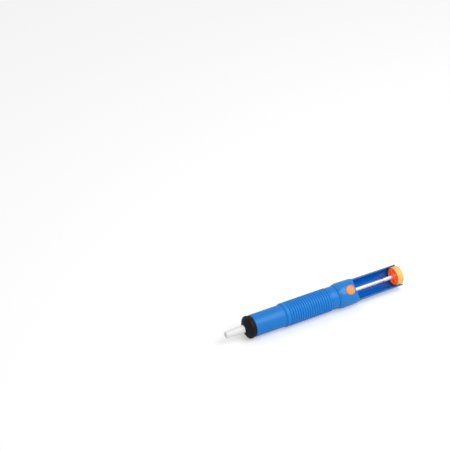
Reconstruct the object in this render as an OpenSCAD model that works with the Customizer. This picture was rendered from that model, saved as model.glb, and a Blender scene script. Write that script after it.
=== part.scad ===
// Spring-loaded solder-suction pump: barrel, guarded plunger and side release button.
// The axis lies along +X from the nozzle tip; the origin is the centre of the tip.
// The guard's open side and the button face upwards and towards -Y, by the angle roll.

/* [Nozzle] */
// Length of the nozzle in front of the cap
nozzle_len = 18.8; // [14:0.1:20]
// Diameter of the nozzle at its tip
nozzle_tip_d = 6.2; // [5:0.1:7]
// Diameter of the nozzle where it leaves the cap
nozzle_root_d = 7.6; // [7:0.1:9]
// Bore of the nozzle's mouth
nozzle_bore_d = 2.6; // [2.2:0.1:3.4]

/* [Nose cap] */
// How far the nose cap stands out beyond the barrel, on each side
cap_rise = 0.3; // [0.2:0.05:1]
// Length of the nose cap
cap_len = 8.3; // [8:0.1:12]
// Slope of the cap's conical front, in degrees from a flat face
cap_slope = 31; // [20:1:34]
// Radius of the rounded edge behind the cone
cap_round = 1.7; // [0.8:0.1:2.2]

/* [Barrel] */
// Outer diameter of the smooth front barrel, which all the other diameters follow
front_d = 20.8; // [18:0.1:24]
// Length of the front barrel that shows, with the flare at its rear
front_len = 32.1; // [28:0.1:36]
// Wall of the front barrel
barrel_wall = 1.9; // [1.8:0.05:2.1]

/* [Grip] */
// How far the grip's smooth front ring stands out beyond the barrel, on each side
grip_rise = 0.9; // [0.7:0.05:1.4]
// Length of the grip sleeve
grip_len = 48.8; // [44:0.1:60]
// Length of the smooth ring in front of the ribs
grip_ring_len = 4.2; // [3:0.1:8]
// Number of ribs round the grip
rib_count = 18; // [12:1:24]
// Depth of the grooves between the ribs
rib_depth = 0.55; // [0.2:0.05:0.6]
// How far the plain band behind the grip stands out beyond the barrel
band_rise = 0.45; // [0.35:0.05:0.8]
// Length of the plain band
band_len = 7.8; // [5:0.1:10]

/* [Head] */
// How far the head stands out beyond the barrel behind its front shoulder
head_rise = 1.8; // [1.6:0.05:2.6]
// How much slimmer the head is, on each side, in front of its rear shoulder
head_taper = 0.3; // [0:0.05:0.5]
// Length of the head with both shoulders
head_len = 24.4; // [24:0.1:28]
// Length of the head's front shoulder
front_shoulder_len = 5.2; // [3:0.1:6.5]
// Length of the head's rear shoulder
rear_shoulder_len = 5.9; // [4:0.1:7]

/* [Guard] */
// How far the guard stands out beyond the barrel where it leaves the head
guard_rise = 0.35; // [0.2:0.05:0.6]
// How much slimmer the guard is, on each side, at its open end
guard_taper = 0.35; // [0:0.05:0.4]
// Wall of the guard where it leaves the head
guard_wall = 1.45; // [1.3:0.05:1.6]
// Length of the guard behind the head
guard_len = 47.7; // [46:0.1:60]

/* [Plunger] */
// Travel of the plunger from rest to the latch
stroke = 39.5; // [34:0.5:40]
// Diameter of the plunger rod
rod_d = 4.2; // [3.8:0.1:4.6]
// Gap between the thumb knob and the guard
knob_gap = 0.4; // [0.3:0.05:1.5]
// Thickness of the thumb knob
knob_len = 6.7; // [5.5:0.1:9]
// Number of ribs inside the thumb knob
knob_ribs = 4; // [3:1:8]

/* [Spring] */
// Wire diameter of the main spring
wire_d = 1.0; // [0.8:0.05:1.05]
// Number of coils in the main spring
coils = 10.5; // [6:0.5:10.5]

/* [Release button] */
// Diameter of the release button
button_d = 9.2; // [8:0.1:10]
// Travel of the release button
button_travel = 1.5; // [1:0.1:1.6]
// Height of the button's crown above the head
button_proud = 0.8; // [0.4:0.1:1.6]

/* [Lie] */
// Turn of the button from straight up towards -Y, in degrees
roll = 45; // [0:5:90]

/* [Hidden] */
round_fn = 96;
small_fn = 48;
arc_steps = 6;
cut_over = 1;

// Radial clearances: pieces pressed together, and pieces that slide
seat_fit = 0.02;
rod_fit = 0.06;
ring_fit = 0.06;
slide_gap = 0.15;
stop_gap = 0.2;
seam_gap = 0.4;
edge_break = 0.4;

// Nose: the flange of the nozzle is held between the cap's face wall and the gasket
cap_land = 0.6;
cap_wall = 1.3;
flange_rim = 0.17;
skirt_len = 1.8;
skirt_step = 0.5;
gasket_t = 0.8;
spigot_step = 1.3;
rim_gap = 0.2;
funnel_wall = 1.2;
funnel_len = 3.8;
tip_round = 0.35;
cap_x0 = nozzle_len;
cap_x1 = cap_x0 + cap_len;
front_r = front_d / 2;
spigot_r = front_r - spigot_step;
cap_r = front_r + cap_rise;
cap_bore_r = spigot_r + seat_fit;
cap_hole_r = nozzle_root_d / 2 + seat_fit;
cap_nose_r = cap_hole_r + cap_land;
flange_x1 = cone_seat(spigot_r) + flange_rim;
spigot_x0 = flange_x1 + gasket_t;
barrel_x0 = cap_x1 + seam_gap;

// Grip, band and head along the axis
grip_x0 = barrel_x0 + front_len;
flare_len = 1.7;
flare_step = 0.15;
grip_x1 = grip_x0 + grip_len;
grip_r = front_r + grip_rise;
band_r = front_r + band_rise;
head_r = front_r + head_rise;
head_rear_r = head_r - head_taper;
head_clear = 2 * head_r;
head_x0 = grip_x1 + band_len;
head_x1 = head_x0 + head_len;
guard_x1 = head_x1 + guard_len;
bore_r = front_r - barrel_wall;
sleeve_t = 1.0;
sleeve_r = grip_r - sleeve_t;
tail_wall = 0.9;
tail_r = bore_r + tail_wall;
tenon_wall = 1.5;
tenon_r = bore_r + tenon_wall;

// Front chamber: piston, its stop and the rod guide behind it
piston_len = 7.0;
nose_gap = 0.6;
buffer_t = 1.0;
guide_t = 3.2;
piston_x0 = flange_x1 + nose_gap + stroke;
piston_x1 = piston_x0 + piston_len;
buffer_x0 = piston_x1 + stop_gap;
guide_x0 = buffer_x0 + buffer_t;
guide_x1 = guide_x0 + guide_t;
piston_r = bore_r - slide_gap;
piston_ring_r = 0.8;
piston_groove_r = bore_r - ring_fit - 2 * piston_ring_r;

// Release: the button, the latch plate under it and the groove that the plate drops into
button_inset = 12.5;
button_x = head_x0 + button_inset;
button_r = button_d / 2;
button_gap = 0.15;
button_flange_t = 1.0;
button_flange_rim = 0.7;
button_crown = 1.0;
tenon_x1 = button_x - button_r - button_flange_rim - seam_gap;
tenon_len = tenon_x1 - head_x0;
lip_t = 1.9;
plate_t = 1.4;
plate_gap = 0.15;
plate_w = 9.6;
plate_offset = 0.8;
plate_x0 = button_x + plate_offset;
plate_x1 = plate_x0 + plate_t;
slot_x0 = plate_x0 - plate_gap;
slot_x1 = plate_x1 + plate_gap;
window_gap = 0.15;
groove_depth = 0.55;
groove_gap = 0.2;
button_wire_d = 0.3;
button_coil_r = 1.3;
button_coils = 2.5;
button_spring_len = 2.6;
pocket_skin = 0.85;
plate_depth = head_rear_r - pocket_skin - button_spring_len;

// Rear chamber: the spring pushes on a collar that a clip holds on the rod
rod_r = rod_d / 2;
seat_t = 0.5;
collar_t = 2.0;
collar_boss_len = 2.5;
clip_t = 0.7;
clip_gap = 0.5;
clip_x1 = slot_x0 - clip_gap;
clip_x0 = clip_x1 - clip_t;
collar_x0 = clip_x0 - collar_t;
seat_x1 = guide_x1 + seat_t;
coil_room = 2.2;
coil_r = bore_r - coil_room;
coil_gap = 0.65;
boss_r = coil_r - wire_d / 2 - coil_gap;
collar_rim = 0.2;
collar_r = coil_r + wire_d / 2 + collar_rim;
clip_groove_depth = 0.45;
clip_rim = 1.6;
buffer_gap = 2.0;
guide_spigot_len = 2.9;
spring_rings = 8;
spring_sides = 6;
end_pitch_share = 1.08;

// Guard: a half tube whose open side starts in a curved scoop behind the button
scoop_web = 0.9;
wall_x1 = button_x + button_r + button_gap + scoop_web;
scoop_sag = 4.2;
scoop_over = 0.75;
guard_r = front_r + guard_rise;
scoop_half_w = guard_r + scoop_over;
scoop_r = (scoop_half_w * scoop_half_w + scoop_sag * scoop_sag) / (2 * scoop_sag);
guard_edge_h = 0.4;
guard_bore_r = guard_r - guard_wall;

// Knob and the rod's rear end
knob_x1 = guard_x1;
knob_x0 = knob_x1 - knob_len;
knob_r = guard_bore_r - knob_gap;
knob_wall = 1.5;
knob_back_t = 3.4;
knob_round = 1.2;
hub_wall = 1.3;
hub_r = rod_r + hub_wall;
hub_inset = 0.5;
knob_rib_t = 1.4;
knob_rib_inset = 0.5;
rod_inset = 2.2;
rod_x1 = knob_x1 - rod_inset;
rod_seat = 4.0;
rod_x0 = piston_x0 + piston_len - rod_seat;
screw_head_r = 2.4;
screw_head_t = 0.9;
screw_r = 1.0;
screw_len = 6.0;
screw_recess = 1.1;

// Cleaning pin: its tip clears the nozzle's mouth when the plunger is latched
pin_r = 0.8;
pin_reach = 0.8;
pin_x0 = stroke - pin_reach;

// Pins that hold the head on the rear barrel, on the side away from the button
head_pin_r = 1.0;
head_pin_angle = 35;
head_pin_x = head_x0 + tenon_len / 2;
head_pin_r0 = bore_r + rim_gap;
head_pin_len = 2.65;
head_pin_r1 = head_pin_r0 + head_pin_len;
bush_t = 1.2;
bush_r = rod_r + bush_t;

// Turns a piece about the axis to the way the whole pump lies
module lie() rotate([roll, 0, 0]) children();

// Revolves an outline of [radius, x] points round the axis
module turned(outline, fn = round_fn) rotate([0, 90, 0]) rotate_extrude($fn = fn) polygon(outline);

// A round bar or a round cut along the axis, from x0 to x1
module bar(r, x0, x1, fn = round_fn) translate([x0, 0, 0]) rotate([0, 90, 0]) cylinder(r = r, h = x1 - x0, $fn = fn);

// A ring round the axis
module ring(r_out, r_in, x0, x1, fn = round_fn) turned([[r_in, x0], [r_out, x0], [r_out, x1], [r_in, x1]], fn);

// Points on an arc in an outline, from angle a0 to a1 about [radius, x]
function arc(c, r, a0, a1, steps = arc_steps) =
    [for (i = [0:steps]) let(a = a0 + (a1 - a0) * i / steps) [c[0] + r * cos(a), c[1] + r * sin(a)]];

// Height of a coil's centre line after t turns: the end turns lie close together
function coil_rise(t, turns, span, pitch_end) =
    t < 1 ? t * pitch_end
    : t > turns - 1 ? span - (turns - t) * pitch_end
    : pitch_end + (t - 1) * (span - 2 * pitch_end) / (turns - 2);

// A wound spring standing on z = 0, as one unbroken tube
module spring(wire, coil, turns, length) {
    sides = spring_sides;
    rings = spring_rings * turns;
    span = length - wire;
    points = [for (i = [0:rings]) let(t = i / spring_rings, a = 360 * t,
        z = wire / 2 + coil_rise(t, turns, span, wire * end_pitch_share))
        for (j = [0:sides - 1]) let(b = 360 * j / sides)
            [(coil + wire / 2 * cos(b)) * cos(a), (coil + wire / 2 * cos(b)) * sin(a), z + wire / 2 * sin(b)]];
    walls = [for (i = [0:rings - 1], j = [0:sides - 1]) let(k = (j + 1) % sides, p = i * sides, q = p + sides)
        each [[p + j, q + j, q + k], [p + j, q + k, p + k]]];
    start_cap = [for (j = [1:sides - 2]) [0, j, j + 1]];
    last = rings * sides;
    end_cap = [for (j = [1:sides - 2]) [last, last + j + 1, last + j]];
    polyhedron(points, concat(walls, start_cap, end_cap), convexity = 10);
}

// Where the inner cone of the cap stands along the axis, at a distance r from it
function cone_seat(r) = cap_x0 + (r - cap_nose_r) * tan(cap_slope) + cap_wall / cos(cap_slope);

// Nozzle of heat-proof plastic: tapered tube with a conical flange that the cap holds
module nozzle() {
    rt = nozzle_tip_d / 2;
    rr = nozzle_root_d / 2;
    rb = nozzle_bore_d / 2;
    funnel_r = rr - funnel_wall;
    flange_r = spigot_r - rim_gap;
    color("ghostwhite") lie() turned([[rb, 0], [rt - tip_round, 0], [rt, tip_round], [rr, cap_x0],
        [rr, cone_seat(rr) + seat_fit], [flange_r, cone_seat(flange_r) + seat_fit], [flange_r, flange_x1],
        [funnel_r, flange_x1], [rb, flange_x1 - funnel_len]]);
}

// Nose cap: black shell with a conical front, a rounded edge and a narrower skirt over the barrel's spigot
module nose_cap() {
    edge_r = cap_r - cap_round * (1 - sin(cap_slope));
    round_x = cap_x0 + (edge_r - cap_nose_r) * tan(cap_slope) + cap_round * cos(cap_slope);
    skirt_x0 = cap_x1 - skirt_len;
    skirt_r = cap_r - skirt_step;
    color([0.1, 0.1, 0.1]) lie() turned(concat([[cap_hole_r, cap_x0], [cap_nose_r, cap_x0]],
        arc([cap_r - cap_round, round_x], cap_round, cap_slope - 90, 0, 2 * arc_steps),
        [[cap_r, skirt_x0 - edge_break], [cap_r - edge_break / 2, skirt_x0], [skirt_r, skirt_x0],
         [skirt_r, cap_x1 - edge_break / 2], [skirt_r - edge_break / 2, cap_x1], [cap_bore_r, cap_x1],
         [cap_bore_r, cone_seat(cap_bore_r)], [cap_hole_r, cone_seat(cap_hole_r)]]));
}

// Rubber gasket between the nozzle's flange and the barrel's end
module nose_gasket() color("dimgray") lie() ring(spigot_r - rim_gap, bore_r, flange_x1, spigot_x0);

// Front barrel: smooth tube, spigot for the cap in front, flare against the grip, tail inside the rear barrel
module front_barrel() {
    r = front_r;
    flare_r = grip_r - flare_step;
    flare_x0 = grip_x0 - flare_len;
    flare_shares = [[0, 0], [0.08, 0.3], [0.3, 0.6], [0.62, 0.8]];
    color([0.16, 0.5, 0.86]) lie() turned(concat([[bore_r, spigot_x0], [spigot_r, spigot_x0],
        [spigot_r, barrel_x0], [r - edge_break, barrel_x0], [r, barrel_x0 + edge_break]],
        [for (p = flare_shares) [r + (flare_r - r) * p[0], flare_x0 + flare_len * p[1]]],
        [[flare_r, grip_x0 - edge_break / 2], [flare_r - edge_break / 2, grip_x0], [tail_r, grip_x0],
         [tail_r, guide_x0], [bore_r, guide_x0]]));
}

// Rear barrel: seat for the grip sleeve, plain band, and a tenon for the head
module rear_barrel() {
    tail_seat_r = tail_r + seat_fit;
    color([0.16, 0.5, 0.86]) lie() difference() {
        turned([[tail_seat_r, grip_x0], [sleeve_r, grip_x0], [sleeve_r, grip_x1], [band_r - edge_break / 2, grip_x1],
            [band_r, grip_x1 + edge_break / 2], [band_r, head_x0], [tenon_r, head_x0], [tenon_r, tenon_x1],
            [bore_r, tenon_x1], [bore_r, guide_x1], [tail_seat_r, guide_x1]]);
        pin_holes();
    }
}

// Grip sleeve: plain front ring, then rounded ribs
module grip_sleeve() {
    ring_r = grip_r;
    seat_r = sleeve_r + seat_fit;
    first = grip_x0 + grip_ring_len;
    groove = (grip_x1 - first) / rib_count;
    dips = [for (i = [0:rib_count - 1]) first + i * groove];
    flank_share = 0.27;
    color([0.16, 0.5, 0.86]) lie() turned(concat(
        [[seat_r, grip_x0], [ring_r - edge_break, grip_x0], [ring_r, grip_x0 + edge_break]],
        [for (x = dips) each [[ring_r, x - groove * flank_share], [ring_r - rib_depth, x],
            [ring_r, x + groove * flank_share]]],
        [[ring_r, grip_x1 - groove * flank_share], [ring_r - rib_depth, grip_x1], [seat_r, grip_x1]]));
}

// Head: shouldered block with the button's pocket, running out into the half-tube guard
module head_housing() {
    r0 = band_r + edge_break / 2;
    r1 = head_r;
    r2 = head_rear_r;
    r3 = guard_r;
    r4 = guard_r - guard_taper;
    s1 = head_x0 + front_shoulder_len;
    s2 = head_x1 - rear_shoulder_len;
    front_shares = [[0.5, 0.4], [0.8, 0.65], [0.94, 0.86]];
    rear_shares = [[0.9, 0.22], [0.2, 0.8], [0.06, 0.9]];
    color([0.2, 0.52, 0.88]) lie() difference() {
        turned(concat([[0, head_x0], [r0, head_x0]],
            [for (p = front_shares) [r0 + (r1 - r0) * p[0], head_x0 + front_shoulder_len * p[1]]],
            [[r1, s1], [r2, s2]],
            [for (p = rear_shares) [r3 + (r2 - r3) * p[0], s2 + rear_shoulder_len * p[1]]],
            [[r3, head_x1], [r4, guard_x1 - edge_break], [r4 - edge_break / 2, guard_x1], [0, guard_x1]]));
        bar(tenon_r + seat_fit, head_x0 - cut_over, tenon_x1 + seat_fit);
        bar(bore_r, tenon_x1, slot_x1);
        bar(bush_r + seat_fit, slot_x1 - cut_over, wall_x1 + cut_over, small_fn);
        bar(guard_bore_r, wall_x1, guard_x1 + cut_over);
        scoop();
        button_pocket();
        latch_slot();
        pin_holes();
    }
}

// Open side of the guard, cut down almost to the axis
module scoop() {
    top = head_clear;
    side_x = wall_x1 + scoop_sag;
    translate([wall_x1 + scoop_r, 0, guard_edge_h]) cylinder(r = scoop_r, h = top, $fn = round_fn);
    translate([side_x, -head_clear, guard_edge_h]) cube([guard_x1 + cut_over - side_x, 2 * head_clear, top]);
}

// Stepped hole for the button: its flange is kept in by the lip
module button_pocket() {
    floor_h = button_base_h() - button_travel - button_gap;
    translate([button_x, 0, floor_h]) cylinder(r = button_r + button_gap, h = head_clear, $fn = small_fn);
    flat_disc(button_r + button_flange_rim + button_gap, button_r + button_gap, floor_h, button_lip_h());
}

// Upright disc at the button with a flat on its rear side, so that the button can't turn
module flat_disc(r, flat, low, high) {
    translate([button_x, 0, low]) intersection() {
        cylinder(r = r, h = high - low, $fn = small_fn);
        translate([-head_clear, -head_clear, -cut_over]) cube([head_clear + flat, 2 * head_clear, head_clear]);
    }
}

// Height above the axis of the underside of the lip, and of the button's base below it
function button_lip_h() = head_rear_r - lip_t;
function button_base_h() = button_lip_h() - button_gap - button_flange_t;

// Slot that guides the latch plate, with the pocket of its spring at the bottom
module latch_slot() {
    half_w = plate_w / 2 + plate_gap;
    low = plate_depth + button_travel + window_gap;
    translate([slot_x0, -half_w, -low]) cube([slot_x1 - slot_x0, 2 * half_w, 2 * low - button_travel]);
    translate([(plate_x0 + plate_x1) / 2, 0, -plate_depth - button_spring_len])
        cylinder(r = button_coil_r + button_wire_d + plate_gap, h = button_spring_len + cut_over, $fn = small_fn);
}

// Two round bars on the side away from the button: the head's pins, or their holes
module pin_bars(r, low, high) {
    for (side = [-1, 1]) translate([head_pin_x, 0, 0]) rotate([180 + side * head_pin_angle, 0, 0])
        translate([0, 0, low]) cylinder(r = r, h = high - low, $fn = small_fn);
}

// Holes for the pins, through the head's skin and into the tenon
module pin_holes() pin_bars(head_pin_r + seat_fit, head_pin_r0 - seat_fit, head_clear);

// Steel pins that hold the head on the tenon
module head_pins() color("silver") lie() pin_bars(head_pin_r, head_pin_r0, head_pin_r1);

// Rod guide: disc clamped between the barrels, with a spigot inside the spring
module rod_guide() {
    hole_r = rod_r + rod_fit;
    end_x = guide_x1 + guide_spigot_len;
    color("gainsboro") lie() turned([[hole_r, guide_x0], [tail_r, guide_x0], [tail_r, guide_x1],
        [boss_r, guide_x1], [boss_r, end_x - edge_break], [boss_r - edge_break, end_x], [hole_r, end_x]]);
}

// Rubber ring that stops the piston at the end of its stroke
module buffer_ring() color("dimgray") lie()
    ring(bore_r - slide_gap, rod_r + buffer_gap, buffer_x0, guide_x0, small_fn);

// Steel washer under the spring
module spring_seat() color("silver") lie() ring(bore_r - slide_gap, boss_r + seat_fit, guide_x1, seat_x1, small_fn);

// Main spring, between its seat and the collar on the rod
module main_spring() color("silver") lie() translate([seat_x1, 0, 0]) rotate([0, 90, 0])
    spring(wire_d, coil_r, coils, collar_x0 - seat_x1);

// Bush in the head's rear wall that steadies the rod
module rod_bush() color([0.15, 0.15, 0.16]) lie() ring(bush_r, rod_r + rod_fit, slot_x1, wall_x1, small_fn);

// Plunger rod with the latch groove and the clip groove
module plunger_rod() {
    groove_x0 = plate_x0 + stroke - groove_gap;
    groove_x1 = plate_x1 + stroke + groove_gap;
    groove_r = rod_r - groove_depth;
    clip_r = rod_r - clip_groove_depth;
    color("whitesmoke") lie() difference() {
        turned([[0, rod_x0], [rod_r - edge_break, rod_x0], [rod_r, rod_x0 + edge_break], [rod_r, clip_x0],
            [clip_r, clip_x0], [clip_r, clip_x1], [rod_r, clip_x1], [rod_r, groove_x0], [groove_r, groove_x0],
            [groove_r, groove_x1], [rod_r, groove_x1], [rod_r, rod_x1], [0, rod_x1]], small_fn);
        bar(screw_r, rod_x1 - screw_len, rod_x1 + cut_over, small_fn);
    }
}

// Piston: grooved plastic cylinder, bored behind for the rod and in front for the pin
module piston() {
    mid = (piston_x0 + piston_x1) / 2;
    half = piston_ring_r + slide_gap;
    pin_hole_r = pin_r + seat_fit;
    rod_hole_r = rod_r + seat_fit;
    color("gainsboro") lie() turned([[pin_hole_r, piston_x0], [piston_r - edge_break, piston_x0],
        [piston_r, piston_x0 + edge_break], [piston_r, mid - half], [piston_groove_r, mid - half],
        [piston_groove_r, mid + half], [piston_r, mid + half], [piston_r, piston_x1], [rod_hole_r, piston_x1],
        [rod_hole_r, rod_x0], [pin_hole_r, rod_x0]]);
}

// Rubber ring in the piston's groove
module piston_ring() {
    mid = (piston_x0 + piston_x1) / 2;
    color([0.12, 0.12, 0.12]) lie() rotate([0, 90, 0]) translate([0, 0, mid]) rotate_extrude($fn = round_fn)
        translate([piston_groove_r + piston_ring_r, 0]) circle(r = piston_ring_r, $fn = small_fn / 2);
}

// Steel pin that pushes solder out of the nozzle
module cleaning_pin() {
    tip = pin_r / 2;
    color("silver") lie() turned([[0, pin_x0], [pin_r - tip / 2, pin_x0], [pin_r, pin_x0 + tip],
        [pin_r, rod_x0], [0, rod_x0]], small_fn);
}

// Collar that carries the spring's rear end, with a boss inside the coils
module spring_collar() {
    hole_r = rod_r + seat_fit;
    color("gainsboro") lie() turned([[hole_r, collar_x0 - collar_boss_len], [boss_r, collar_x0 - collar_boss_len],
        [boss_r, collar_x0], [collar_r, collar_x0], [collar_r, clip_x0], [hole_r, clip_x0]], small_fn);
}

// Open clip in the rod's groove, behind the collar
module collar_clip() {
    clip_in_r = rod_r - clip_groove_depth + seat_fit;
    mouth = 2 * clip_in_r - edge_break;
    color("silver") lie() difference() {
        ring(rod_r + clip_rim, clip_in_r, clip_x0, clip_x1, small_fn);
        translate([clip_x0 - cut_over, -mouth / 2, 0]) cube([clip_t + 2 * cut_over, mouth, rod_d + 2 * clip_rim]);
    }
}

// Thumb knob: hollow cup facing the head, with a hub and ribs inside
module thumb_knob() {
    floor_x = knob_x1 - knob_back_t;
    cup_r = knob_r - knob_wall;
    hub_x0 = knob_x0 + hub_inset;
    rod_hole_r = rod_r + seat_fit;
    color([1, 0.55, 0.15]) lie() difference() {
        union() {
            turned(concat([[cup_r, knob_x0], [knob_r - edge_break, knob_x0], [knob_r, knob_x0 + edge_break]],
                arc([knob_r - knob_round, knob_x1 - knob_round], knob_round, 0, 90),
                [[0, knob_x1], [0, floor_x], [cup_r, floor_x]]));
            bar(hub_r, hub_x0, floor_x + edge_break, small_fn);
            for (i = [0:knob_ribs - 1]) rotate([360 * i / knob_ribs, 0, 0])
                translate([knob_x0 + knob_rib_inset, -knob_rib_t / 2, 0])
                    cube([floor_x - knob_x0 - knob_rib_inset + edge_break, knob_rib_t, cup_r + edge_break]);
        }
        bar(rod_hole_r, knob_x0 - cut_over, rod_x1, small_fn);
        bar(screw_r + seat_fit, rod_x1 - cut_over, knob_x1 + cut_over, small_fn);
        bar(screw_head_r + seat_fit, knob_x1 - screw_recess, knob_x1 + cut_over, small_fn);
    }
}

// Screw that holds the knob on the rod, with a cross slot in its head
module knob_screw() {
    head_x = knob_x1 - screw_recess;
    slot_w = 0.6;
    slot_deep = 0.5;
    color("silver") lie() difference() {
        union() {
            bar(screw_head_r, head_x, head_x + screw_head_t, small_fn);
            bar(screw_r - seat_fit, rod_x1 - screw_len + edge_break, head_x + screw_head_t, small_fn);
        }
        for (a = [0, 90]) rotate([a, 0, 0]) translate([head_x + screw_head_t - slot_deep, -screw_head_r, -slot_w / 2])
            cube([slot_deep + cut_over, 2 * screw_head_r, slot_w]);
    }
}

// Release button: domed disc on a wider flange with a flat at its rear
module release_button() {
    base_h = button_base_h();
    crown_h = head_rear_r + button_proud;
    crown_shares = [[1, 0.1], [0.95, 0.45], [0.82, 0.75], [0.6, 0.92]];
    color([1, 0.62, 0.25]) lie() union() {
        flat_disc(button_r + button_flange_rim, button_r, base_h, base_h + button_flange_t);
        translate([button_x, 0, 0]) rotate_extrude($fn = small_fn) polygon(concat([[0, base_h], [button_r, base_h]],
            [for (p = crown_shares) [button_r * p[0], crown_h - button_crown * (1 - p[1])]], [[0, crown_h]]));
    }
}

// Latch plate: steel plate under the button, with a window that the rod runs through
module latch_plate() {
    window_w = rod_d + 4 * window_gap;
    window_low = -rod_r - window_gap;
    window_top = rod_r + button_travel + 2 * window_gap;
    foot_w = 2 * (button_coil_r + button_wire_d);
    foot_h = plate_t / 2;
    color("silver") lie() difference() {
        union() {
            translate([plate_x0, -plate_w / 2, foot_h - plate_depth])
                cube([plate_t, plate_w, button_base_h() + plate_depth - foot_h]);
            translate([plate_x0, -foot_w / 2, -plate_depth]) cube([plate_t, foot_w, plate_depth]);
        }
        translate([plate_x0 - cut_over, -window_w / 2, window_low])
            cube([plate_t + 2 * cut_over, window_w, window_top - window_low]);
    }
}

// Small spring that lifts the latch plate and the button
module button_spring() color("silver") lie()
    translate([(plate_x0 + plate_x1) / 2, 0, -plate_depth - button_spring_len])
        spring(button_wire_d, button_coil_r, button_coils, button_spring_len);

nozzle();
nose_cap();
nose_gasket();
front_barrel();
rear_barrel();
grip_sleeve();
head_housing();
head_pins();
rod_guide();
buffer_ring();
spring_seat();
main_spring();
rod_bush();
plunger_rod();
piston();
piston_ring();
cleaning_pin();
spring_collar();
collar_clip();
thumb_knob();
knob_screw();
release_button();
latch_plate();
button_spring();
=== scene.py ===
import math
import bpy
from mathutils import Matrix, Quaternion, Vector


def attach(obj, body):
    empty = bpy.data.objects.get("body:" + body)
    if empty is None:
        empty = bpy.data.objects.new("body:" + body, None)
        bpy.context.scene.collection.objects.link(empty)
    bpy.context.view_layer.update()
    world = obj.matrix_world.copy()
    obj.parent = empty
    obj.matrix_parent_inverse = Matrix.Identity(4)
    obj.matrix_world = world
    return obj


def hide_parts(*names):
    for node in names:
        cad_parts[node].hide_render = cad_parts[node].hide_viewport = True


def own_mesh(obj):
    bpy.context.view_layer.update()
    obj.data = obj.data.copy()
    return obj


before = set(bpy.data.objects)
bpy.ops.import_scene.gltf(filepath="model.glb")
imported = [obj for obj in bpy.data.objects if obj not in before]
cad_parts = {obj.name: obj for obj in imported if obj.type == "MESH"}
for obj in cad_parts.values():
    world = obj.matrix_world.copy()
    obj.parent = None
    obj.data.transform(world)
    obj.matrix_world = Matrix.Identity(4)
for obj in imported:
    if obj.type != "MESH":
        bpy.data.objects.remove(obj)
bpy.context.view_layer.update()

# Camera: a long lens a little under two metres away, to the nozzle's left and above. It leans a little,
# because the pump is seen with its nose slightly down.
camera = bpy.data.objects.new("camera", bpy.data.cameras.new("camera"))
bpy.context.scene.collection.objects.link(camera)
turn, lift, lean = math.radians(-28.88), math.radians(31.89), math.radians(-1.68)
half_frame, lens_reach = 225, 1950.7
back = Vector((math.sin(turn) * math.cos(lift), -math.cos(turn) * math.cos(lift), math.sin(lift)))
camera.rotation_mode = "QUATERNION"
camera.rotation_quaternion = back.to_track_quat("Z", "Y") @ Quaternion((0, 0, 1), lean)
camera.location = (-0.69548, -1.26593, 1.01603)
camera.data.sensor_fit = "HORIZONTAL"
camera.data.angle = 2 * math.atan(half_frame / lens_reach)
camera.data.clip_end = 20
bpy.context.scene.camera = camera

# Table: a plain white sheet under the pump. The pump rests on the front ring of its grip and on its head,
# which is thicker, so the sheet drops a little from the nozzle to the knob. A glow that only the camera sees
# keeps the sheet white. All sizes of pieces are in millimetres, times MM where Blender takes metres.
MM = 0.001
ring_x, ring_r = 60.0, 11.3
crest_x, crest_r = 121.4, 12.2
rest_slope = math.atan((crest_r - ring_r) / (crest_x - ring_x))
sheet_size, sheet_gap = 6, 0.02
sheet_place = (ring_x * MM, 0, -(ring_r + sheet_gap) * MM)
sheet_white, sheet_glow = 0.78, 0.36


def new_finish(name):
    """An empty material, and the tree that takes its nodes."""
    material = bpy.data.materials.new(name)
    material.use_nodes = True
    material.node_tree.nodes.clear()
    return material, material.node_tree


def node(tree, kind, inputs=None, **settings):
    """One node of a material, with its settings, its values and its links."""
    made = tree.nodes.new(kind)
    for key, value in settings.items():
        setattr(made, key, value)
    for key, value in (inputs or {}).items():
        if isinstance(value, bpy.types.NodeSocket):
            tree.links.new(value, made.inputs[key])
        else:
            made.inputs[key].default_value = value
    return made


def worked_out(tree, how, *terms):
    """The result of one sum or comparison of numbers and sockets."""
    return node(tree, "ShaderNodeMath", dict(enumerate(terms)), operation=how).outputs[0]


bpy.ops.object.select_all(action="DESELECT")
bpy.ops.mesh.primitive_plane_add(size=sheet_size, location=sheet_place, rotation=(0, rest_slope, 0))
table = bpy.context.object
table.name = "table"
sheet, tree = new_finish("table_white")
paper = node(tree, "ShaderNodeBsdfDiffuse", {"Color": (sheet_white, sheet_white, sheet_white, 1)})
seen = node(tree, "ShaderNodeLightPath").outputs["Is Camera Ray"]
strength = worked_out(tree, "MULTIPLY", seen, sheet_glow)
glow = node(tree, "ShaderNodeEmission", {"Color": (1, 1, 1, 1), "Strength": strength})
both = node(tree, "ShaderNodeAddShader", {0: paper.outputs[0], 1: glow.outputs[0]})
node(tree, "ShaderNodeOutputMaterial", {"Surface": both.outputs[0]})
table.data.materials.append(sheet)

# Light: a white room and one wide soft lamp overhead, a little in front and towards the knob, whose reflection
# runs down the upper side of the barrel.
room_level, lamp_size, lamp_power = 0.6, 0.75, 4.6
lamp_place, lamp_aim = Vector((0.47, -0.46, 0.78)), Vector((0.08, 0, 0))
room = bpy.data.worlds.new("room")
bpy.context.scene.world = room
room.use_nodes = True
room.node_tree.nodes["Background"].inputs["Color"].default_value = (1, 1, 1, 1)
room.node_tree.nodes["Background"].inputs["Strength"].default_value = room_level
lamp = bpy.data.objects.new("overhead", bpy.data.lights.new("overhead", "AREA"))
bpy.context.scene.collection.objects.link(lamp)
lamp.data.size = lamp_size
lamp.data.energy = lamp_power
lamp.location = lamp_place
lamp.rotation_mode = "QUATERNION"
lamp.rotation_quaternion = (lamp_place - lamp_aim).to_track_quat("Z", "Y")
bpy.context.scene.view_settings.view_transform = "Standard"

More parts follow.
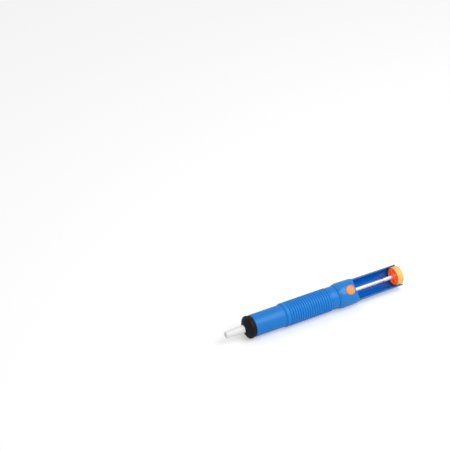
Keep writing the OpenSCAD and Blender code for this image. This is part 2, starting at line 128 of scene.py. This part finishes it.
# Nozzle: a tapered tip turned from white heat-proof plastic, with a flange that the cap holds and a bore
# that opens into a funnel behind. Heat has greyed the first millimetre of its mouth.
nozzle_len, nozzle_bore_r, mouth_r, mouth_round, root_r = 18.8, 1.3, 3.1, 0.35, 3.79
cone_x, flange_x, flange_end, flange_r = 19.97, 23.03, 23.3, 8.88
funnel_x, funnel_r = 19.5, 2.6


def turned(name, outline, sides=128, closed=True):
    """A turned piece: a ring is drawn at the first station and pulled through the others; [x, radius] in mm."""
    bpy.ops.object.select_all(action="DESELECT")
    x, r = outline[0]
    bpy.ops.mesh.primitive_circle_add(vertices=sides, radius=r * MM, location=(x * MM, 0, 0),
                                      rotation=(0, math.pi / 2, 0))
    piece = bpy.context.object
    piece.name = name
    bpy.ops.object.transform_apply()
    bpy.ops.object.mode_set(mode="EDIT")
    bpy.ops.mesh.select_all(action="SELECT")
    if not closed:
        bpy.ops.mesh.edge_face_add()
    for x2, r2 in outline[1:] + (outline[:1] if closed else []):
        bpy.ops.mesh.extrude_region_move(TRANSFORM_OT_translate={"value": ((x2 - x) * MM, 0, 0)})
        bpy.ops.transform.resize(value=(1, r2 / r, r2 / r), center_override=(x2 * MM, 0, 0))
        x, r = x2, r2
    bpy.ops.mesh.select_all(action="SELECT")
    bpy.ops.mesh.remove_doubles(threshold=1e-6)
    bpy.ops.mesh.normals_make_consistent(inside=False)
    bpy.ops.object.mode_set(mode="OBJECT")
    return piece


def curve(centre, radius, start, end, steps=6):
    """Stations along a rounded corner, [x, radius], from angle start to end; 90 degrees points off the axis."""
    turns = [math.radians(start + (end - start) * i / steps) for i in range(steps + 1)]
    return [[centre[0] + radius * math.cos(a), centre[1] + radius * math.sin(a)] for a in turns]


def rounded(piece, width, segments=3, angle=30):
    """Breaks the piece's sharp edges and smooths what lies between them."""
    bpy.ops.object.select_all(action="DESELECT")
    piece.select_set(True)
    bpy.context.view_layer.objects.active = piece
    edge = piece.modifiers.new("edge", "BEVEL")
    edge.width = width * MM
    edge.segments = segments
    edge.limit_method = "ANGLE"
    edge.angle_limit = math.radians(angle)
    bpy.ops.object.modifier_apply(modifier=edge.name)
    bpy.ops.object.shade_smooth_by_angle(angle=math.radians(38))


def mottle(tree, place, scale, detail):
    """Soft random patches, from 0 to 1."""
    return node(tree, "ShaderNodeTexNoise", {"Vector": place, "Scale": scale, "Detail": detail}).outputs["Fac"]


def graded(tree, value, start, end, low=0.0, high=1.0):
    """Low where value is start or less, high where it is end or more, and even between them."""
    limits = {"Value": value, "From Min": start, "From Max": end, "To Min": low, "To Max": high}
    return node(tree, "ShaderNodeMapRange", limits).outputs[0]


def two_tone(tree, share, first, second):
    """The first colour where share is 0, the second where it is 1."""
    tones = {"Factor": share, "A": (*first, 1), "B": (*second, 1)}
    return node(tree, "ShaderNodeMix", tones, data_type="RGBA").outputs["Result"]


def moulded(name, deep, pale, rough, grain, grain_size=0.4, scuff=0.5, sheen=0.5):
    """Moulded plastic: two tones in soft clouds, a fine skin, and faint scuffs along the pump."""
    material, tree = new_finish(name)
    place = node(tree, "ShaderNodeTexCoord").outputs["Object"]
    cloud = mottle(tree, place, 55, 3)
    tone = two_tone(tree, cloud, deep, pale)
    drawn_out = node(tree, "ShaderNodeMapping", {"Vector": place, "Scale": (90, 2600, 2600)}).outputs[0]
    marks = graded(tree, mottle(tree, drawn_out, 1, 2), 0.62, 0.74, 0.0, scuff)
    skin = mottle(tree, place, 1000 / grain_size, 3)
    height = worked_out(tree, "SUBTRACT", skin, marks)
    relief = node(tree, "ShaderNodeBump", {"Strength": grain, "Distance": 0.03 * MM, "Height": height})
    matt = graded(tree, cloud, 0.3, 0.7, *rough)
    duller = worked_out(tree, "MULTIPLY_ADD", marks, 0.25, matt)
    shader = node(tree, "ShaderNodeBsdfPrincipled", {"Base Color": tone, "Roughness": duller,
                                                     "Normal": relief.outputs[0], "Specular IOR Level": sheen})
    node(tree, "ShaderNodeOutputMaterial", {"Surface": shader.outputs[0]})
    return material, tree, shader, place


def tint(tree, shader, mask, colour):
    """Lays another tone over the base colour where mask is 1."""
    before = shader.inputs["Base Color"].links[0].from_socket
    over = node(tree, "ShaderNodeMix", {"Factor": mask, "A": before, "B": (*colour, 1)}, data_type="RGBA")
    tree.links.new(over.outputs["Result"], shader.inputs["Base Color"])


def let_light_in(shader, share, colour, depth):
    """Lets light a little way into the plastic; depth in mm."""
    shader.inputs["Subsurface Weight"].default_value = share
    shader.inputs["Subsurface Radius"].default_value = colour
    shader.inputs["Subsurface Scale"].default_value = depth * MM


mouth = curve([mouth_round, mouth_r - mouth_round], mouth_round, 180, 90, 4)
flange = [[cone_x, root_r], [flange_x, flange_r], [flange_end, flange_r], [flange_end, funnel_r]]
nozzle = turned("nozzle_tip", [[0, nozzle_bore_r]] + mouth + [[nozzle_len, root_r]] + flange
                + [[funnel_x, nozzle_bore_r]])
rounded(nozzle, 0.12)
white, tree, shader, place = moulded("nozzle_white", deep=(0.93, 0.92, 0.93), pale=(0.98, 0.98, 0.98),
                                     rough=(0.38, 0.5), grain=0.15, grain_size=0.7, scuff=0.2)
let_light_in(shader, share=0.5, colour=(1.0, 0.95, 0.95), depth=2)
along = node(tree, "ShaderNodeSeparateXYZ", {0: place}).outputs["X"]
smeared = worked_out(tree, "MULTIPLY_ADD", mottle(tree, place, 900, 3), 1.4 * MM, along)
greyed = graded(tree, smeared, 0.8 * MM, 1.7 * MM, 0.3, 0.0)
tint(tree, shader, greyed, (0.6, 0.58, 0.58))
nozzle.data.materials.append(white)
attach(nozzle, "barrel")
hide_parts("nozzle")

# Nose cap: a black shell with a conical front and a rounded edge, moulded in fine matt plastic. Its narrower
# skirt is pushed over the barrel's end, and it is pulled off by hand to empty the pump.
cap_r, cap_round, cap_round_x, cap_cone, cap_rim_x = 10.7, 1.7, 23.535, 59, 24.9
cap_hole_r, cap_face, cap_inside_r, cap_inside_x, cap_hole_end = 3.82, 0.6, 9.12, 23.14, 19.96
skirt_x, skirt_r, skirt_end, skirt_edge = 25.3, 10.2, 27.1, 0.2
cap_front = curve([cap_round_x, cap_r - cap_round], cap_round, 90 + cap_cone, 90, 10)
cap_rear = [[cap_rim_x, cap_r], [25.15, 10.64], [skirt_x, cap_r - skirt_edge]]
skirt = [[skirt_x, skirt_r], [skirt_end - skirt_edge, skirt_r], [skirt_end, skirt_r - skirt_edge]]
cap_inside = [[skirt_end, cap_inside_r], [cap_inside_x, cap_inside_r], [cap_hole_end, cap_hole_r]]
cap = turned("nose_cap_shell", [[nozzle_len, cap_hole_r], [nozzle_len, cap_hole_r + cap_face]] + cap_front
             + cap_rear + skirt + cap_inside)
rounded(cap, 0.08, 2)
black, tree, shader, place = moulded("cap_black", deep=(0.003, 0.0025, 0.003), pale=(0.006, 0.0055, 0.006),
                                     rough=(0.42, 0.55), grain=0.35, grain_size=0.35, scuff=0.4, sheen=0.24)
rubbed = graded(tree, mottle(tree, place, 420, 5), 0.6, 0.75, 0.0, 0.35)
tint(tree, shader, rubbed, (0.022, 0.021, 0.022))
cap.data.materials.append(black)
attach(cap, "barrel")
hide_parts("nose_cap")

# Seals: the nose gasket, the piston's buffer and the ring in the piston's groove, all black rubber.
# Each is pressed or stretched into its seat, and its skin is dull.
rubber = moulded("seal_rubber", deep=(0.014, 0.013, 0.013), pale=(0.03, 0.028, 0.027), rough=(0.6, 0.8),
                 grain=0.4, grain_size=0.5, scuff=0.2)[0]
for name in ("nose_gasket", "buffer_ring", "piston_ring"):
    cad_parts[name].material_slots[0].material = rubber

# Front barrel: a smooth moulded tube of glossy blue plastic. Its thinner front end takes the cap, it flares
# where it meets the grip, and its tail slips inside the rear barrel.
piston_bore_r, spigot_x, spigot_r = 8.5, 24.1, 9.1
barrel_x, barrel_r, barrel_edge = 27.5, 10.4, 0.4
grip_x, tail_r, tail_end = 59.6, 9.4, 71.6
flare = ((57.9, 0), (58.16, 0.02), (58.41, 0.06), (58.68, 0.13), (58.92, 0.23), (59.12, 0.36), (59.26, 0.49),
         (59.36, 0.64), (59.4, 0.75), (59.6, 0.55))
spigot = [[spigot_x, piston_bore_r], [spigot_x, spigot_r], [barrel_x, spigot_r]]
barrel_front = [[barrel_x, barrel_r - barrel_edge], [barrel_x + barrel_edge, barrel_r]]
tail = [[grip_x, tail_r], [tail_end, tail_r], [tail_end, piston_bore_r]]
barrel = turned("front_barrel_tube", spigot + barrel_front + [[x, barrel_r + rise] for x, rise in flare] + tail)
rounded(barrel, 0.1, 3, 38)
blue = moulded("barrel_blue", deep=(0.001, 0.212, 0.69), pale=(0.004, 0.24, 0.745), rough=(0.27, 0.37),
               grain=0.1, grain_size=0.9, scuff=0.25, sheen=0.4)[0]
barrel.data.materials.append(blue)
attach(barrel, "barrel")
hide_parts("front_barrel")

# Grip sleeve: a smooth ring, then rounded ribs, moulded in one and pressed over the rear barrel.
# The grooves are painted a darker blue as painted shade, and the ribs' crowns a paler blue as a painted
# highlight.
grip_end, sleeve_r, groove_r, rib_depth, grip_round = 108.4, 10.32, 10.75, 0.55, 0.4
ribs, ribs_x = 18, 63.8
rib_pitch = (grip_end - ribs_x) / ribs
groove_shape = ((-0.3, 1), (-0.2, 0.86), (-0.1, 0.3), (0, 0), (0.1, 0.3), (0.2, 0.86), (0.3, 1))
outline = [[grip_x, sleeve_r], [grip_x, ring_r - grip_round]]
outline += curve([grip_x + grip_round, ring_r - grip_round], grip_round, 180, 90, 4)
for i in range(ribs + 1):
    dip = ribs_x + i * rib_pitch
    shape = groove_shape if i < ribs else groove_shape[:4]
    outline += [[dip + across * rib_pitch, groove_r + rib_depth * up] for across, up in shape]
grip = turned("grip_ribs", outline + [[grip_end, sleeve_r]])
rounded(grip, 0.05, 2, 50)


def off_axis(tree, place):
    """How far a point lies from the pump's axis, in metres."""
    flat = node(tree, "ShaderNodeMapping", {"Vector": place, "Scale": (0, 1, 1)})
    return node(tree, "ShaderNodeVectorMath", {0: flat.outputs[0]}, operation="LENGTH").outputs["Value"]


grip_blue, tree, shader, place = moulded("grip_blue", deep=(0.002, 0.234, 0.76), pale=(0.005, 0.262, 0.82),
                                         rough=(0.34, 0.46), grain=0.15, grain_size=0.5, scuff=0.3, sheen=0.32)
far = off_axis(tree, place)
# Painted shade: the deep part of each groove is painted a darker blue.
painted_groove_shade = graded(tree, far, 10.78 * MM, 11.2 * MM, 0.65, 0.0)
tint(tree, shader, painted_groove_shade, (0.001, 0.1, 0.4))
# Painted highlight: the ribs' crowns are painted a paler blue.
painted_crown_highlight = graded(tree, far, 11.24 * MM, ring_r * MM, 0.0, 0.4)
tint(tree, shader, painted_crown_highlight, (0.012, 0.27, 0.78))
grip.data.materials.append(grip_blue)
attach(grip, "barrel")
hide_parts("grip_sleeve")

# Rear barrel: the core under the grip, the plain band behind it and the tenon that the head is pinned to,
# moulded in one in the same blue plastic as the front barrel.
core_r, band_r, band_end, band_edge, tenon_r, tenon_end = 10.28, 10.85, 116.2, 0.2, 10.0, 123.0
socket_r, socket_end = 9.42, 74.8
core = [[grip_x, socket_r], [grip_x, core_r], [grip_end, core_r]]
band = [[grip_end, band_r - band_edge], [grip_end + band_edge, band_r], [band_end, band_r]]
tenon = [[band_end, tenon_r], [tenon_end, tenon_r], [tenon_end, piston_bore_r]]
rear = turned("rear_barrel_core", core + band + tenon + [[socket_end, piston_bore_r], [socket_end, socket_r]])
rounded(rear, 0.08, 2)
rear.data.materials.append(blue)
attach(rear, "barrel")
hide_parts("rear_barrel")

# Head: the thick moulding behind the barrel. It carries the button, and its rear runs out into a half-round
# guard for the plunger, open on the button's side behind a curved scoop. It is made with the button upright.
front_shoulder = [[band_end, 11.05], [117.3, 11.37], [118.28, 11.625], [119.58, 11.95], [120.67, 12.13],
                  [crest_x, crest_r]]
rear_shoulder = [[134.7, 11.9], [135.3, 11.87], [136.0, 11.77], [139.42, 10.98], [140.01, 10.83], [140.6, 10.75]]
guard_rim = [[187.9, 10.4], [188.3, 10.2]]
socket_play, bush_seat_x, bush_seat_r, wall_x, guard_bore_r = 0.02, 130.5, 3.32, 134.35, 9.3
scoop_r, scoop_x, scoop_low, scoop_back = 17.844, 134.41, 0.4, 138.55
button_x, button_hole_r, button_seat_r, button_seat_flat, button_lip = 128.7, 4.75, 5.45, 133.4, 10.0
pocket_low, flat_reach, flat_half, above, beyond, overrun = 7.2, 140, 10, 20, 190, 1
slot_x0, slot_x1, slot_half, slot_low, slot_high = 129.35, 131.05, 4.95, -10.1, 8.6
spring_x, spring_hole_r, spring_low, spring_hole_top = 130.2, 1.75, -11.05, -8
pin_x, pin_hole_r, pin_turn, pin_low, pin_high = 119.6, 1.02, 35, -14, -8.6


def shape_cut(piece, tool, how="DIFFERENCE"):
    """Takes the tool's shape out of the piece, or adds it, and clears the tool away."""
    bpy.ops.object.select_all(action="DESELECT")
    bpy.context.view_layer.objects.active = piece
    cut = piece.modifiers.new("cut", "BOOLEAN")
    cut.operation = how
    cut.solver = "EXACT"
    cut.object = tool
    bpy.ops.object.modifier_apply(modifier=cut.name)
    tool.select_set(True)
    bpy.ops.object.delete()


def bored(piece, x0, x1, radius, sides=128):
    """Bores the piece along its axis from x0 to x1."""
    shape_cut(piece, turned("tool", [[x0, radius], [x1, radius]], sides, closed=False))


def upright(radius, x, low, high, sides=96):
    """A round tool that stands on the button's line, from height low to high above the axis."""
    bpy.ops.object.select_all(action="DESELECT")
    bpy.ops.mesh.primitive_cylinder_add(vertices=sides, radius=radius * MM, depth=(high - low) * MM,
                                        location=(x * MM, 0, (high + low) / 2 * MM))
    return bpy.context.object


def block(x0, x1, y0, y1, z0, z1):
    """A square tool between two corners."""
    bpy.ops.object.select_all(action="DESELECT")
    bpy.ops.mesh.primitive_cube_add(size=1, scale=((x1 - x0) * MM, (y1 - y0) * MM, (z1 - z0) * MM),
                                    location=((x0 + x1) / 2 * MM, (y0 + y1) / 2 * MM, (z0 + z1) / 2 * MM))
    return bpy.context.object


def rolled(piece):
    """Turns a piece made with its button upright to the way the pump lies, and fixes its place in its mesh."""
    bpy.ops.object.select_all(action="DESELECT")
    piece.select_set(True)
    bpy.context.view_layer.objects.active = piece
    piece.rotation_euler = (math.radians(45), 0, 0)
    bpy.ops.object.transform_apply()


def welded(gap):
    """Joins the active piece's points that are less than gap mm apart, and points its faces outwards."""
    bpy.ops.object.mode_set(mode="EDIT")
    bpy.ops.mesh.select_all(action="SELECT")
    bpy.ops.mesh.remove_doubles(threshold=gap * MM)
    bpy.ops.mesh.normals_make_consistent(inside=False)
    bpy.ops.object.mode_set(mode="OBJECT")


head = turned("head_and_guard", front_shoulder + rear_shoulder + guard_rim, 144, closed=False)
bored(head, band_end - overrun, tenon_end + socket_play, tenon_r + socket_play)
bored(head, tenon_end - overrun, slot_x1, piston_bore_r)
bored(head, bush_seat_x, wall_x + overrun, bush_seat_r, 64)
bored(head, wall_x, beyond, guard_bore_r, 144)
scoop = upright(scoop_r, scoop_x + scoop_r, scoop_low, above, 192)
shape_cut(scoop, block(scoop_back, beyond, -above, above, scoop_low, above), "UNION")
shape_cut(head, scoop)
shape_cut(head, upright(button_hole_r, button_x, pocket_low, above))
pocket = upright(button_seat_r, button_x, pocket_low, button_lip)
shape_cut(pocket, block(button_seat_flat, flat_reach, -flat_half, flat_half, 0, above))
shape_cut(head, pocket)
shape_cut(head, block(slot_x0, slot_x1, -slot_half, slot_half, slot_low, slot_high))
shape_cut(head, upright(spring_hole_r, spring_x, spring_low, spring_hole_top, 32))
for side in (-pin_turn, pin_turn):
    hole = upright(pin_hole_r, pin_x, pin_low, pin_high, 32)
    hole.rotation_euler = (math.radians(side), 0, 0)
    hole.location = Quaternion((1, 0, 0), math.radians(side)) @ hole.location
    shape_cut(head, hole)
rolled(head)
welded(0.04)
rounded(head, 0.16, 2, 35)
head_blue, tree, shader, place = moulded("head_blue", deep=(0.001, 0.222, 0.71), pale=(0.004, 0.248, 0.765),
                                         rough=(0.2, 0.28), grain=0.1, grain_size=0.9, scuff=0.25, sheen=0.5)
sides = node(tree, "ShaderNodeSeparateXYZ", {0: place})
along, across, up = sides.outputs["X"], sides.outputs["Y"], sides.outputs["Z"]
# Painted shade: the inside of the guard and the head's bores are painted a deeper blue, standing in for light
# bounced inside them.
inside = graded(tree, off_axis(tree, place), 9.35 * MM, 9.6 * MM, 1.0, 0.0)
tint(tree, shader, inside, (0.0, 0.185, 0.7))
# Painted shade: a darker blue band is painted at the head's front edge, where it meets the band.
seam_shade = graded(tree, along, 116.4 * MM, 116.7 * MM, 0.6, 0.0)
tint(tree, shader, seam_shade, (0.001, 0.06, 0.26))
# Painted shade: the guard's edges on the open side are painted dark blue where the lamp lights them.
near_edge = worked_out(tree, "COMPARE", worked_out(tree, "SUBTRACT", up, across), 0.52 * MM, 0.22 * MM)
on_guard = worked_out(tree, "GREATER_THAN", along, 138.7 * MM)
painted_edge_shade = worked_out(tree, "MULTIPLY", worked_out(tree, "MULTIPLY", near_edge, on_guard), 0.8)
tint(tree, shader, painted_edge_shade, (0.02, 0.06, 0.2))
head.data.materials.append(head_blue)
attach(head, "barrel")
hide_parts("head_housing")


# Small steel: the head's two pins, the spring's washer, the clip on the rod, the cleaning pin, the knob's screw
# and the latch plate. Each is plated wire, bar or sheet with a dull, faintly streaked face.
def metal(tree, tone, dull, strength, height):
    """Bare metal of the given tone and dullness, with a relief a hundredth of a millimetre deep at most."""
    relief = node(tree, "ShaderNodeBump", {"Strength": strength, "Distance": 0.01 * MM, "Height": height})
    shader = node(tree, "ShaderNodeBsdfPrincipled", {"Base Color": tone, "Metallic": 1.0, "Roughness": dull,
                                                     "Normal": relief.outputs[0]})
    node(tree, "ShaderNodeOutputMaterial", {"Surface": shader.outputs[0]})


steel, tree = new_finish("small_steel")
place = node(tree, "ShaderNodeTexCoord").outputs["Object"]
patch = mottle(tree, place, 700, 4)
tone = two_tone(tree, patch, (0.42, 0.41, 0.4), (0.66, 0.66, 0.67))
metal(tree, tone, graded(tree, patch, 0.3, 0.7, 0.22, 0.42), 0.2, mottle(tree, place, 5000, 2))
for name in ("head_pins", "spring_seat", "collar_clip", "cleaning_pin", "knob_screw", "latch_plate"):
    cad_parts[name].material_slots[0].material = steel

# Inner mouldings: the rod guide, the piston and the spring's collar, turned or moulded in pale waxy plastic,
# and the black bush that steadies the rod in the head's rear wall.
waxy = moulded("inner_plastic", deep=(0.6, 0.59, 0.55), pale=(0.7, 0.69, 0.65), rough=(0.35, 0.5),
               grain=0.2, grain_size=0.6, scuff=0.4)[0]
for name in ("rod_guide", "piston", "spring_collar"):
    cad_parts[name].material_slots[0].material = waxy
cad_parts["rod_bush"].material_slots[0].material = black

# Main spring: round steel wire wound in ten and a half turns, the end turns closed up, between the washer on the
# rod guide and the collar on the rod.
main_wire, main_coil_r, main_turns, main_len, main_x = 1.0, 6.3, 10.5, 50.85, 75.3


def coil(name, wire, radius, turns, length, steps):
    """A spring wound along +X from the origin: three stretches of wire, each drawn round, then welded."""
    tight = wire * 1.08
    stretches = ((1, tight), (turns - 2, length - wire - 2 * tight), (1, tight))
    x, angle, made = wire / 2, 0.0, []
    for count, rise in stretches:
        bpy.ops.object.select_all(action="DESELECT")
        bpy.ops.mesh.primitive_circle_add(vertices=10, radius=wire / 2 * MM, location=(0, radius * MM, 0))
        part = bpy.context.object
        bpy.ops.object.transform_apply()
        screw = part.modifiers.new("winding", "SCREW")
        screw.axis = "X"
        screw.angle = 2 * math.pi * count
        screw.screw_offset = rise * MM
        screw.steps = screw.render_steps = int(steps * count)
        screw.use_merge_vertices = False
        bpy.ops.object.modifier_apply(modifier=screw.name)
        part.rotation_euler = (angle, 0, 0)
        part.location = (x * MM, 0, 0)
        bpy.ops.object.transform_apply()
        x, angle = x + rise, angle + 2 * math.pi * count
        made.append(part)
    for part in made:
        part.select_set(True)
    bpy.ops.object.join()
    spring = bpy.context.object
    spring.name = name
    bpy.ops.object.mode_set(mode="EDIT")
    bpy.ops.mesh.select_all(action="SELECT")
    bpy.ops.mesh.remove_doubles(threshold=0.02 * MM)
    bpy.ops.mesh.fill_holes(sides=12)
    bpy.ops.mesh.normals_make_consistent(inside=False)
    bpy.ops.object.mode_set(mode="OBJECT")
    bpy.ops.object.shade_smooth_by_angle(angle=math.radians(50))
    return spring


main_spring = coil("main_spring_wire", main_wire, main_coil_r, main_turns, main_len, 36)
main_spring.location = (main_x * MM, 0, 0)
bpy.ops.object.transform_apply()
main_spring.data.materials.append(steel)
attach(main_spring, "barrel")
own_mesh(main_spring)
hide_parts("main_spring")

# Plunger rod: polished steel bar, turned with a groove for the clip and a deeper one for the latch. The lathe
# has left it duller in fine bands, and its rear end is drilled for the knob's screw.
rod_x, rod_end, rod_r, rod_chamfer = 66.4, 186.1, 2.1, 0.4
clip_groove = [[128.15, rod_r], [128.15, 1.65], [128.85, 1.65], [128.85, rod_r]]
latch_groove = [[168.8, rod_r], [168.8, 1.55], [170.6, 1.55], [170.6, rod_r]]
screw_hole_x, screw_hole_r = 180.1, 1.0
rod = turned("rod_bar", [[rod_x, rod_r - rod_chamfer], [rod_x + rod_chamfer, rod_r]] + clip_groove + latch_groove
             + [[rod_end, rod_r]], 64, closed=False)
bored(rod, screw_hole_x, rod_end + overrun, screw_hole_r, 32)
rounded(rod, 0.06, 2)
bright, tree = new_finish("rod_steel")
place = node(tree, "ShaderNodeTexCoord").outputs["Object"]
bands = node(tree, "ShaderNodeMapping", {"Vector": place, "Scale": (1400, 40, 40)}).outputs[0]
film = mottle(tree, place, 160, 3)
tone = two_tone(tree, film, (0.79, 0.79, 0.83), (0.88, 0.88, 0.92))
metal(tree, tone, graded(tree, mottle(tree, bands, 1, 2), 0.3, 0.7, 0.36, 0.46), 0.1, film)
rod.data.materials.append(bright)
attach(rod, "plunger")
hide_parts("plunger_rod")

# Thumb knob: a hollow cup of glossy orange plastic with a hub for the rod and four ribs inside, held on the rod
# by a screw in its rear face. Light comes a little way into its thin wall. The hollow is painted a deep red with
# a painted glow, and the outer wall behind the rim a pale yellow as a painted highlight.
knob_x, knob_end, knob_r, knob_edge, knob_round = 181.6, 188.3, 8.9, 0.4, 1.2
hollow_r, hollow_end, hub_x, hub_r, rod_hole_r = 7.4, 184.9, 182.1, 3.4, 2.12
screw_r, screw_head_r, screw_head_x = 1.02, 2.42, 187.2
knob_ribs, rib_half, rib_root, rib_tip, rib_end = 4, 0.7, 3.2, 7.7, 185.2
knob_front = [[knob_x, hollow_r], [knob_x, knob_r - knob_edge], [knob_x + knob_edge, knob_r]]
knob_rear = curve([knob_end - knob_round, knob_r - knob_round], knob_round, 90, 0, 6)
screw_hole = [[knob_end, screw_head_r], [screw_head_x, screw_head_r], [screw_head_x, screw_r], [rod_end, screw_r]]
hub = [[rod_end, rod_hole_r], [hub_x, rod_hole_r], [hub_x, hub_r], [hollow_end, hub_r], [hollow_end, hollow_r]]
knob = turned("knob_cup", knob_front + knob_rear + screw_hole + hub)
for i in range(knob_ribs):
    rib = block(hub_x, rib_end, -rib_half, rib_half, rib_root, rib_tip)
    round_hub = 2 * math.pi * i / knob_ribs
    rib.rotation_euler = (round_hub, 0, 0)
    rib.location = Quaternion((1, 0, 0), round_hub) @ rib.location
    shape_cut(knob, rib, "UNION")
rolled(knob)
welded(0.02)
rounded(knob, 0.12, 2, 40)
orange, tree, shader, place = moulded("knob_orange", deep=(1.0, 0.28, 0.06), pale=(1.0, 0.34, 0.085),
                                      rough=(0.28, 0.4), grain=0.05, grain_size=0.8, scuff=0.3, sheen=0.45)
far = off_axis(tree, place)
along = node(tree, "ShaderNodeSeparateXYZ", {0: place}).outputs["X"]
# Painted highlight: the outer wall behind the rim is painted pale yellow, as if strongly lit.
behind_rim = graded(tree, along, 181.7 * MM, 182.3 * MM, 0.0, 0.9)
painted_highlight_wall = worked_out(tree, "MULTIPLY", behind_rim, worked_out(tree, "GREATER_THAN", far, 8.3 * MM))
tint(tree, shader, painted_highlight_wall, (1.0, 0.69, 0.18))
# Painted shade and glow: the hollow is painted a deep red, deeper further in, and given a painted glow that fades
# inwards.
near_axis = worked_out(tree, "LESS_THAN", far, 7.55 * MM)
depth = graded(tree, along, 182.3 * MM, 183.6 * MM, 0.35, 1.0)
hollow = worked_out(tree, "MULTIPLY", near_axis, worked_out(tree, "LESS_THAN", along, 185.1 * MM))
tint(tree, shader, worked_out(tree, "MULTIPLY", hollow, depth), (1.0, 0.1, 0.02))
painted_glow_strength = worked_out(tree, "MULTIPLY_ADD", depth, -0.3, 0.56)
tree.links.new(worked_out(tree, "MULTIPLY", hollow, painted_glow_strength), shader.inputs["Emission Strength"])
shader.inputs["Emission Color"].default_value = (1.0, 0.085, 0.012, 1)
let_light_in(shader, share=0.6, colour=(1.0, 0.3, 0.06), depth=3)
knob.data.materials.append(orange)
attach(knob, "plunger")
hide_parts("thumb_knob")

# Release button: a domed disc of the same orange plastic, with a flange that keeps it in the head. It is turned
# lying along the axis, its side next to the guard is cut flat, and it is then stood up and rolled with the head.
flange_low, flange_high, flange_r, button_r, button_flat = 8.85, 9.85, 5.3, 4.6, 133.25
dome = [[11.8, button_r], [12.0, 4.54], [12.15, 4.37], [12.45, 3.77], [12.62, 2.76], [12.68, 1.4], [12.7, 0.4]]
button = turned("button_dome", [[flange_low, flange_r], [flange_high, flange_r], [flange_high, button_r]] + dome,
                96, closed=False)
bpy.ops.object.select_all(action="DESELECT")
button.select_set(True)
bpy.context.view_layer.objects.active = button
button.rotation_euler = (0, -math.pi / 2, 0)
button.location = (button_x * MM, 0, 0)
bpy.ops.object.transform_apply()
shape_cut(button, block(button_flat, flat_reach, -flat_half, flat_half, 0, above))
rolled(button)
rounded(button, 0.15, 3)
amber, tree, shader, place = moulded("button_orange", deep=(1.0, 0.33, 0.06), pale=(1.0, 0.4, 0.085),
                                     rough=(0.3, 0.4), grain=0.12, grain_size=0.8, scuff=0.3, sheen=0.4)
let_light_in(shader, share=0.3, colour=(1.0, 0.4, 0.1), depth=2)
button.data.materials.append(amber)
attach(button, "button")
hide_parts("release_button")

# Button spring: a small coil in the bottom of the latch plate's slot, which lifts the plate and the button.
# It is wound from steel wire too, but much finer.
lift_wire, lift_coil_r, lift_turns, lift_len = 0.3, 1.3, 2.5, 2.6
lift_spring = coil("button_spring_wire", lift_wire, lift_coil_r, lift_turns, lift_len, 24)
lift_spring.rotation_euler = (0, -math.pi / 2, 0)
lift_spring.location = (spring_x * MM, 0, spring_low * MM)
bpy.ops.object.transform_apply()
rolled(lift_spring)
lift_spring.data.materials.append(steel)
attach(lift_spring, "barrel")
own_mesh(lift_spring)
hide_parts("button_spring")
